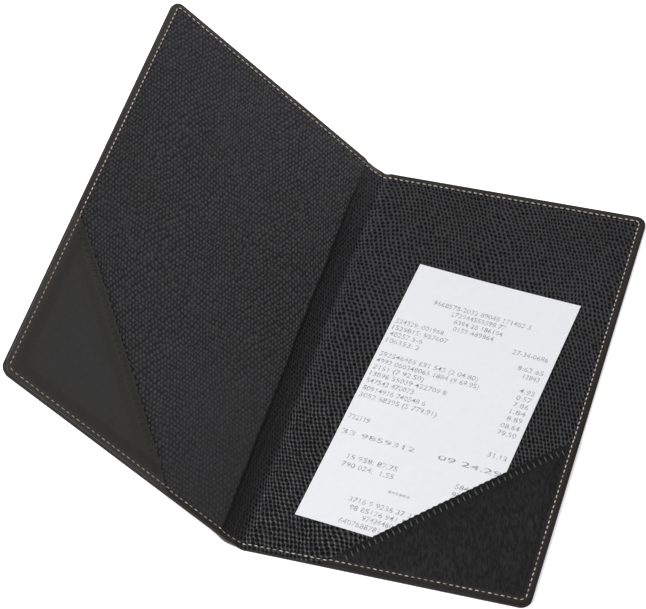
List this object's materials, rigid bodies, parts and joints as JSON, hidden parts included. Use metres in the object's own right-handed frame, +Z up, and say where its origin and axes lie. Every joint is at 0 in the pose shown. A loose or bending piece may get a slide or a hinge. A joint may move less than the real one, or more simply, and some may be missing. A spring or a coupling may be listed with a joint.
{
  "type": "guest check presenter",
  "caption": "Book-style leather check presenter with a soft spine, stitched edges and a hemmed corner pocket in each cover; a paper slip is tucked into one.",
  "frame": {"origin": "centre of the open presenter's box, on the table", "axes": "+Y along the spine to the head, +X from the spine to the back cover's fore-edge, +Z up"},
  "size_m": [0.2286, 0.23, 0.099],
  "materials": {
    "outer_leather": "smooth black leather, satin",
    "lining": "black lizard-grain embossed leather, satin",
    "back_pocket_suede": "black brushed leather, matt",
    "front_pocket_leather": "smooth black leather, soft sheen",
    "board": "grey fibre board, cut edge inked",
    "seam_thread": "cream waxed thread",
    "hem_thread": "black thread",
    "check_paper": "white thermal paper with grey print"
  },
  "bodies": {
    "back_cover": {"back_outer_leather": "outer_leather", "back_board": "board", "back_lining": "lining", "back_pocket": "back_pocket_suede", "back_hem_stitches": "hem_thread", "back_edge_stitches": "seam_thread", "back_bobbin_stitches": "seam_thread"},
    "spine": {"spine_outer_leather": "outer_leather", "spine_lining": "lining", "spine_edge_stitches": "seam_thread", "spine_bobbin_stitches": "seam_thread"},
    "front_cover": {"front_outer_leather": "outer_leather", "front_board": "board", "front_lining": "lining", "front_pocket": "front_pocket_leather", "front_hem_stitches": "hem_thread", "front_edge_stitches": "seam_thread", "front_bobbin_stitches": "seam_thread"},
    "guest_check": {"guest_check": "check_paper"}
  },
  "joints": [
    {"name": "back_crease", "type": "hinge", "parent": "back_cover", "child": "spine", "pos_m": [-0.01521, 0, 0.0009], "axis": [0, 1, 0], "range_deg": [-34, 56]},
    {"name": "front_crease", "type": "hinge", "parent": "spine", "child": "front_cover", "pos_m": [-0.02225, 0, 0.00565], "axis": [0, 1, 0], "range_deg": [-11, 79]},
    {"name": "check_slide", "type": "slide", "parent": "back_cover", "child": "guest_check", "axis": [0.0958, 0.9954, 0], "range_m": [-0.005, 0.049]}
  ]
}
